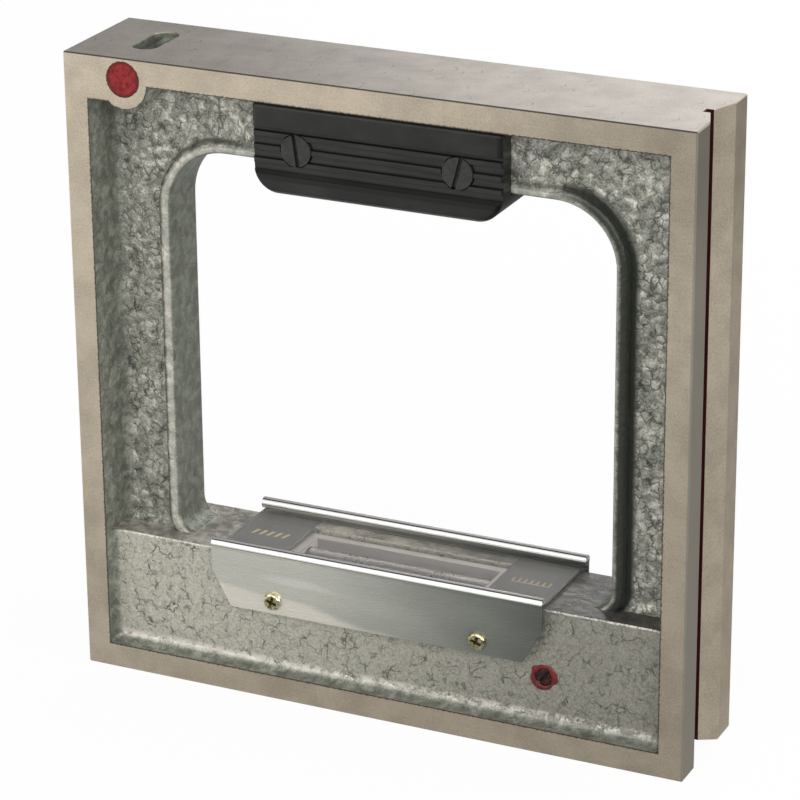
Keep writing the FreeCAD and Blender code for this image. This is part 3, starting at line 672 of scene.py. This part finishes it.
# Plated screw: cloudy brass, with painted shade inside the cross recess, where a point is near the axis
# and under the head's face.
def fillPanScrew(n, p):
    s = panScrew
    right, size = boxOf("front_screw_right")
    left = boxOf("front_screw_left")[0]
    face = -(right[1] - size[1] / 2) / millimetre
    middleX = (right[0] + left[0]) / 2 / millimetre
    offset = (right[0] - left[0]) / 2 / millimetre
    x, y, z = n.parts(p)
    fromAxis = n.reach(
        n.plus(n.maths("ABSOLUTE", n.plus(x, -middleX)), -offset), n.plus(z, -right[2] / millimetre))
    depth = n.maths("SUBTRACT", face, n.maths("ABSOLUTE", y))
    recess = n.times(
        n.step(fromAxis, s["recessReach"], s["recessReach"] - 0.2),
        n.step(depth, s["faceDepth"] - 0.15, s["faceDepth"]))
    cloud = n.noise(p, 0.9, 3.0, 0.6)
    colour = n.mix(n.step(cloud, 0.40, 0.62), s["dark"], s["pale"])
    return {
        "Base Color": n.mix(recess, colour, s["recess"]),
        "Roughness": n.spread(cloud, 0.10, 0.22),
        "Metallic": 1.0,
    }


plaster = {
    "dark": (0.80, 0.755, 0.715),
    "pale": (0.88, 0.83, 0.79),
    "border": (0.50, 0.47, 0.44),
    "borderWidth": 0.25,
}


# Plaster: pale in the trough, duller on the narrow border that shows along its upper edge
def fillPlaster(n, p):
    middle, size = boxOf("vial_bedding")
    top = (middle[2] + size[2] / 2) / millimetre
    z = n.parts(p)[2]
    fine = n.noise(p, 1.8, 3.0, 0.6)
    colour = n.mix(n.step(n.noise(p, 0.3, 3.0), 0.3, 0.7), plaster["dark"], plaster["pale"])
    return {
        "Base Color": n.mix(
            n.step(z, top - plaster["borderWidth"], top - 0.08), colour, plaster["border"]),
        "Roughness": n.spread(fine, 0.7, 0.9),
        "Normal": n.add("ShaderNodeBump", {
            "Height": fine, "Distance": 0.00005, "Strength": 0.6}).outputs["Normal"],
    }


strip = {
    "beadRadius": 1.75,
    "halfLength": 57.0,
    # painted reflections on the plate: pale at the left end to dark at the right, a warm area and a pale cloud
    "paleEnd": (0.58, 0.58, 0.515),
    "darkEnd": (0.12, 0.132, 0.117),
    "warmReflection": (0.80, 0.755, 0.66),
    "cloud": (0.72, 0.73, 0.68),
    # painted reflections round the bead: white, mauve and black bands, with painted shadow under it
    "white": (1.0, 1.0, 0.98),
    "mauveReflection": (0.62, 0.58, 0.57),
    "black": (0.03, 0.03, 0.028),
    "shadow": (0.10, 0.105, 0.09),
    "plateReflectionAcross": (-38.0, 64.0),
    "warmLevel": 37.5,               # height of the upper line of the warm painted reflection at the left end
    "warmSlope": 0.13,
    "warmAcross": (30.0, -25.0),
    "paleReflectionPlace": (-27.0, 39.6),
    "paleReflectionSlope": 0.10,
    "paleReflectionShape": (0.075, 0.6),
    "whiteReflectionBand": (8.0, 52.0, 5.0),   # degrees about the bead's axis: from, to, softness
    "mauveReflectionBand": (64.0, 200.0, 3.0),
    "frontDarkReflection": (52.0, 65.0, 2.0),
    "topDarkReflection": (97.0, 112.0, 2.0),
    "shadowBand": (-40.0, 0.0, 3.0),
}


# Drawn strip: its plate carries painted reflections, going from pale to dark along X, with a warm area under a slanted
# soft line and a pale cloud above it. Round the bead, bands of painted reflection and a painted shadow follow the angle
# about its axis.
def stripFill(name):
    def fill(n, p):
        s = strip
        middle, size = boxOf(name)
        axisY = (middle[1] - size[1] / 2) / millimetre + s["beadRadius"]
        if middle[1] > 0:
            axisY = (middle[1] + size[1] / 2) / millimetre - s["beadRadius"]
        axisZ = (middle[2] + size[2] / 2) / millimetre - s["beadRadius"]
        x, y, z = n.parts(p)
        g = n.use(grain, Vector=p, Stretch=(0.02, 3.0, 3.0))
        wave = n.times(n.plus(n.noise(n.stretched(p, (0.5, 1.0, 1.0)), 0.07, 2.0), -0.5), 7.0)
        colour = n.mix(
            n.step(n.plus(x, n.times(wave, 4.0)), *s["plateReflectionAcross"]), s["paleEnd"], s["darkEnd"])
        slant = n.times(n.plus(x, s["halfLength"]), s["warmSlope"])
        below = n.maths("SUBTRACT", s["warmLevel"], n.plus(z, slant, wave))
        warmReflection = n.times(n.step(below, -0.6, 1.4), n.step(x, *s["warmAcross"]))
        colour = n.mix(n.times(warmReflection, 0.85), colour, s["warmReflection"])
        along = n.plus(x, -s["paleReflectionPlace"][0])
        upward = n.plus(z, -s["paleReflectionPlace"][1], n.times(along, s["paleReflectionSlope"]), wave)
        fromPaleReflection = n.reach(n.times(along, s["paleReflectionShape"][0]), n.times(upward, s["paleReflectionShape"][1]))
        colour = n.mix(n.times(n.step(fromPaleReflection, 1.2, 0.3), 0.6), colour, s["cloud"])
        colour = n.mix(n.times(n.step(g["Lines"], 0.42, 0.7), 0.12), colour, s["darkEnd"])
        angle = n.maths("DEGREES", n.maths("ARCTAN2", n.plus(z, -axisZ), n.maths("SUBTRACT", axisY, y)))
        bead = n.step(z, axisZ - 0.35, axisZ - 0.05)
        bands = n.mix(n.between(angle, *s["whiteReflectionBand"]), s["paleEnd"], s["white"])
        bands = n.mix(n.between(angle, *s["mauveReflectionBand"]), bands, s["mauveReflection"])
        bands = n.mix(n.between(angle, *s["frontDarkReflection"]), bands, s["black"])
        bands = n.mix(n.between(angle, *s["topDarkReflection"]), bands, s["black"])
        bands = n.mix(n.between(angle, *s["shadowBand"]), bands, s["shadow"])
        return {
            "Base Color": n.mix(bead, colour, bands),
            "Roughness": n.spread(g["Lines"], 0.20, 0.34),
            "Metallic": n.blend(bead, 0.5, 0.45),
            "Normal": n.add("ShaderNodeBump", {
                "Height": g["Lines"], "Distance": 0.00002, "Strength": 0.4}).outputs["Normal"],
        }
    return fill


# name: (dark, pale, stretch of the lines, least roughness, most roughness, metallic)
brushedMetals = {
    "blackenedSteel": ((0.020, 0.020, 0.018), (0.045, 0.045, 0.040), (1.0, 1.0, 1.0), 0.30, 0.50, 0.3),
    "brightSteel": ((0.48, 0.47, 0.45), (0.66, 0.65, 0.62), (1.0, 0.2, 1.0), 0.22, 0.40, 1.0),
    "platedTube": ((0.26, 0.27, 0.235), (0.42, 0.43, 0.375), (1.0, 0.1, 1.0), 0.35, 0.50, 0.6),
    "holderSteel": ((0.54, 0.51, 0.48), (0.66, 0.63, 0.60), (0.05, 2.0, 2.0), 0.40, 0.55, 0.5),
}
# name: (dark, pale, size of the clouds, least roughness, most roughness, depth of the unevenness)
dullFinishes = {
    "darkPlate": ((0.060, 0.063, 0.058), (0.080, 0.083, 0.076), 0.3, 0.45, 0.6, 0.00003),
    "sealBead": ((0.085, 0.006, 0.008), (0.19, 0.014, 0.016), 0.6, 0.25, 0.45, 0.0001),
    "clearCover": ((0.93, 0.915, 0.90), (0.96, 0.945, 0.93), 0.05, 0.02, 0.04, 0.00001),
    "vialGlass": ((0.96, 0.97, 0.96), (0.98, 0.99, 0.98), 0.1, 0.02, 0.03, 0.0),
    "vialLiquid": ((0.95, 0.96, 0.91), (0.97, 0.98, 0.93), 0.1, 0.01, 0.02, 0.0),
    "goldMark": ((0.46, 0.34, 0.13), (0.64, 0.50, 0.24), 1.0, 0.4, 0.5, 0.00003),
    "markInk": ((0.02, 0.02, 0.02), (0.05, 0.05, 0.05), 1.0, 0.4, 0.5, 0.00003),
}
ownFinishes = {
    "castIron": fillCastIron,
    "gripMoulding": fillGrip,
    "frontStripSteel": stripFill("front_strip"),
    "rearStripSteel": stripFill("rear_strip"),
    "brassScrew": fillPanScrew,
    "plaster": fillPlaster,
    "sealLacquer": fillSeal,
    "sealedScrew": fillSealedScrew,
}
# plain inputs of the shader, beside those that the finish gives
shaderInputs = {
    "sealLacquer": {"Specular IOR Level": lacquer["specular"]},
    "clearCover": {"Transmission Weight": 0.96, "IOR": 1.14},
    "vialGlass": {"Transmission Weight": 1.0, "IOR": 1.5},
    "vialLiquid": {"Transmission Weight": 1.0, "IOR": 1.36},
}
fills = {
    **ownFinishes,
    **{name: brushedFill(*values) for name, values in brushedMetals.items()},
    **{name: dullFill(*values) for name, values in dullFinishes.items()},
}
materials = {name: makeMaterial(name, fill, **shaderInputs.get(name, {})) for name, fill in fills.items()}
finishes = {
    "castIron": ["frame_casting"],
    "gripMoulding": ["front_grip", "rear_grip"],
    "blackenedSteel": ["grip_screw_left", "grip_screw_right", "grip_nut_left", "grip_nut_right"],
    "clearCover": ["window_cover"],
    "darkPlate": ["left_mask", "right_mask"],
    "frontStripSteel": ["front_strip"],
    "rearStripSteel": ["rear_strip"],
    "brassScrew": ["front_screw_left", "front_screw_right", "rear_screw_left", "rear_screw_right"],
    "holderSteel": ["vial_holder"],
    "plaster": ["vial_bedding"],
    "vialGlass": ["vial_glass", "cross_glass"],
    "vialLiquid": ["vial_liquid", "cross_liquid"],
    "brightSteel": ["pivot_pin"],
    "sealedScrew": ["zero_screw"],
    "sealLacquer": ["cross_plug"],
    "platedTube": ["cross_sleeve"],
}
for finish, names in finishes.items():
    for name in names:
        nodes[name].data.materials.clear()
        nodes[name].data.materials.append(materials[finish])
print("stage: materials")


def makeObject(name, vertices, faces, material=None, smooth=False):
    mesh = bpy.data.meshes.new(name)
    mesh.from_pydata([tuple(v) for v in vertices], [], [tuple(int(i) for i in f) for f in faces])
    mesh.update()
    if smooth:
        mesh.polygons.foreach_set("use_smooth", [True] * len(mesh.polygons))
    if material:
        mesh.materials.append(material)
    made = bpy.data.objects.new(name, mesh)
    bpy.context.scene.collection.objects.link(made)
    return made


# Quads between neighbouring points of a rows x columns grid; a wrapped direction joins its ends.
def gridFaces(rows, columns, wrapRows=False, wrapColumns=False):
    r, c = np.meshgrid(
        np.arange(rows if wrapRows else rows - 1), np.arange(columns if wrapColumns else columns - 1),
        indexing="ij")
    r, c = r.ravel(), c.ravel()
    nextR, nextC = (r + 1) % rows, (c + 1) % columns
    return np.stack(
        [r * columns + c, nextR * columns + c, nextR * columns + nextC, r * columns + nextC], axis=1)


sealPaint = {
    "radius": 3.55,                  # millimetres, middle of the bead of lacquer
    "width": 0.75,
    "height": 0.38,
    "waviness": 0.22,
    "sink": 0.02,
    "pointsRound": 96,
    "pointsOver": 9,
}


# Bead of lacquer round the zero screw. Angle u goes round the screw and v over the bead:
# distance = radius + waves(u) on the outer half + width(u) cos v, height = rise(u) sin v in front of the beam.
def makeSealPaint():
    s = sealPaint
    middle, size = boxOf("zero_screw")
    u = np.linspace(0, 2 * np.pi, s["pointsRound"], endpoint=False)[:, None]
    v = np.linspace(0, np.pi, s["pointsOver"])[None, :]
    waves = np.sin(2 * u + 0.6) + 0.6 * np.sin(5 * u + 2.0) + 0.4 * np.sin(9 * u + 4.0)
    thick = 1 + 0.22 * np.sin(3 * u + 1.0) + 0.16 * np.sin(7 * u + 3.0)
    outward = np.cos(v)
    spill = s["waviness"] * waves * outward ** 2 * (outward > 0)
    distance = s["radius"] + spill + s["width"] * thick * outward
    rise = s["height"] * thick * np.sin(v) - s["sink"]
    faceY = castIron["beamFront"] * millimetre
    points = np.stack([
        middle[0] + distance * np.cos(u) * millimetre,
        faceY - rise * millimetre,
        middle[2] + distance * np.sin(u) * millimetre], axis=-1).reshape(-1, 3)
    faces = gridFaces(s["pointsRound"], s["pointsOver"], wrapRows=True)
    made = makeObject("sealPaint", points, faces, materials["sealBead"], smooth=True)
    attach(made, "frame")


vialMarks = {
    "perSide": 4,
    "spacing": 2.0,                  # millimetres
    "firstFromMiddle": 11.6,
    "width": 0.22,
    "lift": 0.012,
    "halfArc": 1.25,                 # radians to each side of the crown
    "arcPoints": 33,
}


# Graduation lines on the main vial: bands of a cylinder just outside the glass. One parameter runs
# across a band's width, the other along its arc over the crown.
def makeVialMarks():
    m = vialMarks
    middle, size = boxOf("vial_glass")
    radius = size[2] / 2 + m["lift"] * millimetre
    steps = np.arange(m["perSide"]) * m["spacing"] + m["firstFromMiddle"]
    places = np.concatenate([-steps[::-1], steps]) * millimetre
    arc = np.linspace(-m["halfArc"], m["halfArc"], m["arcPoints"])
    across = np.array([-0.5, 0.5]) * m["width"] * millimetre
    shape = (len(places), 2, len(arc))
    x = np.broadcast_to(middle[0] + places[:, None, None] + across[None, :, None], shape)
    y = np.broadcast_to(middle[1] + radius * np.sin(arc), shape)
    z = np.broadcast_to(middle[2] + radius * np.cos(arc), shape)
    points = np.stack([x, y, z], axis=-1).reshape(-1, 3)
    band = gridFaces(2, len(arc))
    faces = (band[None] + (np.arange(len(places)) * 2 * len(arc))[:, None, None]).reshape(-1, 4)
    made = makeObject("vialMarks", points, faces, materials["markInk"], smooth=True)
    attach(made, "vial_unit")


maskMarks = {
    "thickness": 0.03,
    "slantBars": 5,
    "slantPitch": 2.6,
    "slantSize": (1.0, 3.4),
    "slantLean": 0.9,
    "scaleTicks": 7,
    "scalePitch": 2.0,
    "tickSize": (0.42, 2.2),
    "scaleLine": 0.36,
}


# Flat bars: each is the eight corners of a box, as signs times half its size, sheared along X.
def makeBars(name, centres, sizes, lean):
    signs = np.array([
        (-1, -1, -1), (1, -1, -1), (1, 1, -1), (-1, 1, -1),
        (-1, -1, 1), (1, -1, 1), (1, 1, 1), (-1, 1, 1)], dtype=float)
    box = np.array([(3, 2, 1, 0), (4, 5, 6, 7), (0, 1, 5, 4), (1, 2, 6, 5), (2, 3, 7, 6), (3, 0, 4, 7)])
    points = centres[:, None, :] + signs[None] * sizes[:, None, :] / 2
    points[:, :, 0] += signs[None, :, 1] * lean / 2
    faces = (box[None] + (np.arange(len(centres)) * 8)[:, None, None]).reshape(-1, 4)
    made = makeObject(name, points.reshape(-1, 3), faces, materials["goldMark"])
    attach(made, "frame")


# A row of bars in the middle of a plate: place number i lies at (i - half the last number) pitches.
def rowOn(plate, count, pitch, size):
    thickness = maskMarks["thickness"]
    middle, extent = boxOf(plate)
    top = middle[2] + extent[2] / 2 + thickness * millimetre / 2
    place = (np.arange(count) - (count - 1) / 2) * pitch * millimetre
    centres = np.stack(
        [middle[0] + place, np.full_like(place, middle[1]), np.full_like(place, top)], axis=1)
    return centres, np.tile(np.array([*size, thickness]) * millimetre, (count, 1))


# Plain gold marks on the dark plates: slanted bars on the left, a row of ticks over a line on the right.
def makeMaskMarks():
    m = maskMarks
    centres, sizes = rowOn("left_mask", m["slantBars"], m["slantPitch"], m["slantSize"])
    makeBars("leftMarks", centres, sizes, m["slantLean"] * millimetre)
    centres, sizes = rowOn("right_mask", m["scaleTicks"], m["scalePitch"], m["tickSize"])
    middle = boxOf("right_mask")[0]
    below = middle[1] - (m["tickSize"][1] / 2 + m["scaleLine"]) * millimetre
    line = np.array([[middle[0], below, centres[0, 2]]])
    lineLength = (m["scaleTicks"] - 1) * m["scalePitch"] + m["tickSize"][0]
    lineSize = np.array([[lineLength, m["scaleLine"], m["thickness"]]]) * millimetre
    makeBars("rightMarks", np.concatenate([centres, line]), np.concatenate([sizes, lineSize]), 0.0)


makeSealPaint()
makeVialMarks()
makeMaskMarks()
print("stage: added pieces")


studio = {
    "floorSize": 12.0,
    "floorColour": (0.86, 0.86, 0.86, 1.0),
    "floorGlow": 0.95,               # share of plain white in what the camera sees of the floor
    "sheenLeft": 1.0,                # brightness of the floor in reflections, on the left
    "sheenRight": 0.10,
    "sheenAcross": (-0.75, 0.35),
    "ambient": 0.55,                 # world light on the object
    "roomFront": 0.20,               # brightness of the room in reflections: the camera's side,
    "roomHigh": 0.75,                # the same side, higher up
    "roomBackLeft": 0.15,            # behind the object on the left
    "roomBackRight": 0.24,           # and on the right
    "roomAcross": (-0.55, 0.45),     # directions over which the room's brightness changes
    "roomUpward": (0.15, 0.45),
    "roomInward": (-0.3, 0.4),
    "lamps": {
        # name: (place, aim, width, height, watts)
        "frontLamp": ((-0.10, -1.60, 1.00), (0.0, 0.0, 0.10), 1.2, 1.2, 7.8),
        "rightLamp": ((1.00, -1.20, 0.70), (0.0, 0.0, 0.10), 1.0, 1.0, 8.6),
        "sideLamp": ((1.50, 0.10, 0.50), (0.0, 0.0, 0.10), 0.9, 0.9, 12.5),
        "leftLamp": ((-0.60, -0.70, 0.35), (0.0, 0.0, 0.10), 0.5, 0.5, 1.1),
        "backLamp": ((0.15, 1.25, 0.60), (0.0, 0.0, 0.10), 0.7, 0.7, 3.6),
        "farLamp": ((-0.25, 1.30, 0.50), (0.0, 0.0, 0.10), 0.7, 0.24, 2.2),
    },
}

# Floor: a plane just under the object. The camera sees it mostly white, polished faces see it
# brighter on the left.
half = studio["floorSize"] / 2
floorMaterial = bpy.data.materials.new("floorPaper")
floorMaterial.use_nodes = True
floorMaterial.node_tree.nodes.clear()
n = NodeBuilder(floorMaterial.node_tree)
path = n.add("ShaderNodeLightPath").outputs
floorX = n.parts(n.add("ShaderNodeTexCoord").outputs["Object"])[0]
sheen = n.blend(n.step(floorX, *studio["sheenAcross"]), studio["sheenLeft"], studio["sheenRight"])
paper = n.add("ShaderNodeBsdfDiffuse", {"Color": studio["floorColour"]}).outputs[0]
white = n.add("ShaderNodeEmission", {"Color": (1, 1, 1, 1), "Strength": 1.0}).outputs[0]
soft = n.add("ShaderNodeEmission", {"Color": (1, 1, 1, 1), "Strength": sheen}).outputs[0]
seen = n.times(n.either(path["Is Camera Ray"], path["Is Transmission Ray"]), studio["floorGlow"])
shown = n.add("ShaderNodeMixShader", {0: seen, 1: paper, 2: white}).outputs[0]
shown = n.add("ShaderNodeMixShader", {0: path["Is Glossy Ray"], 1: shown, 2: soft}).outputs[0]
n.add("ShaderNodeOutputMaterial", {"Surface": shown})
floor = makeObject(
    "floor", [(-half, -half, 0), (half, -half, 0), (half, half, 0), (-half, half, 0)], [(0, 1, 2, 3)],
    floorMaterial)

# World: white to the camera and through glass, the room's brightness in reflections, and the plain
# ambient level for diffuse light.
world = bpy.data.worlds.new("studioWorld")
bpy.context.scene.world = world
world.use_nodes = True
world.node_tree.nodes.clear()
n = NodeBuilder(world.node_tree)
path = n.add("ShaderNodeLightPath").outputs
dx, dy, dz = n.parts(n.add("ShaderNodeTexCoord").outputs["Generated"])
behind = n.blend(n.step(dx, *studio["roomAcross"]), studio["roomBackLeft"], studio["roomBackRight"])
front = n.blend(n.step(dz, *studio["roomUpward"]), studio["roomFront"], studio["roomHigh"])
room = n.blend(n.step(dy, *studio["roomInward"]), front, behind)
level = n.blend(path["Is Glossy Ray"], studio["ambient"], room)
level = n.blend(n.either(path["Is Camera Ray"], path["Is Transmission Ray"]), level, 1.0)
glow = n.add("ShaderNodeBackground", {"Color": (1, 1, 1, 1), "Strength": level})
n.add("ShaderNodeOutputWorld", {"Surface": glow.outputs[0]})


# matrix of an object with this place and these three axes
def standAt(place, right, up, back):
    return Matrix([(right[i], up[i], back[i], place[i]) for i in range(3)] + [(0, 0, 0, 1)])


# Lamps: soft boxes aimed at the object
for name, (place, aim, width, height, watts) in studio["lamps"].items():
    lamp = bpy.data.lights.new(name, "AREA")
    lamp.shape = "RECTANGLE"
    lamp.size = width
    lamp.size_y = height
    lamp.energy = watts
    holder = bpy.data.objects.new(name, lamp)
    away = np.subtract(place, aim)
    away = away / np.linalg.norm(away)
    side = np.cross((0, 0, 1), away)
    side = side / np.linalg.norm(side)
    up = np.cross(away, side)
    holder.matrix_world = standAt(place, side, up, away)
    bpy.context.scene.collection.objects.link(holder)

# Camera: its place, its three axes and its lens
view = {
    "place": (0.420811, -0.893920, 0.492774),
    "right": (0.90601111, 0.4231818, -0.00781248),
    "up": (-0.15054621, 0.33945316, 0.92849739),
    "back": (0.39557517, -0.8400528, 0.37125674),
    "lens": 159.72,
    "sensor": 36.0,
}
lens = bpy.data.cameras.new("camera")
lens.lens = view["lens"]
lens.sensor_width = view["sensor"]
camera = bpy.data.objects.new("camera", lens)
camera.matrix_world = standAt(view["place"], view["right"], view["up"], view["back"])
bpy.context.scene.collection.objects.link(camera)
bpy.context.scene.camera = camera
bpy.context.scene.view_settings.view_transform = "Standard"
print("stage: studio")
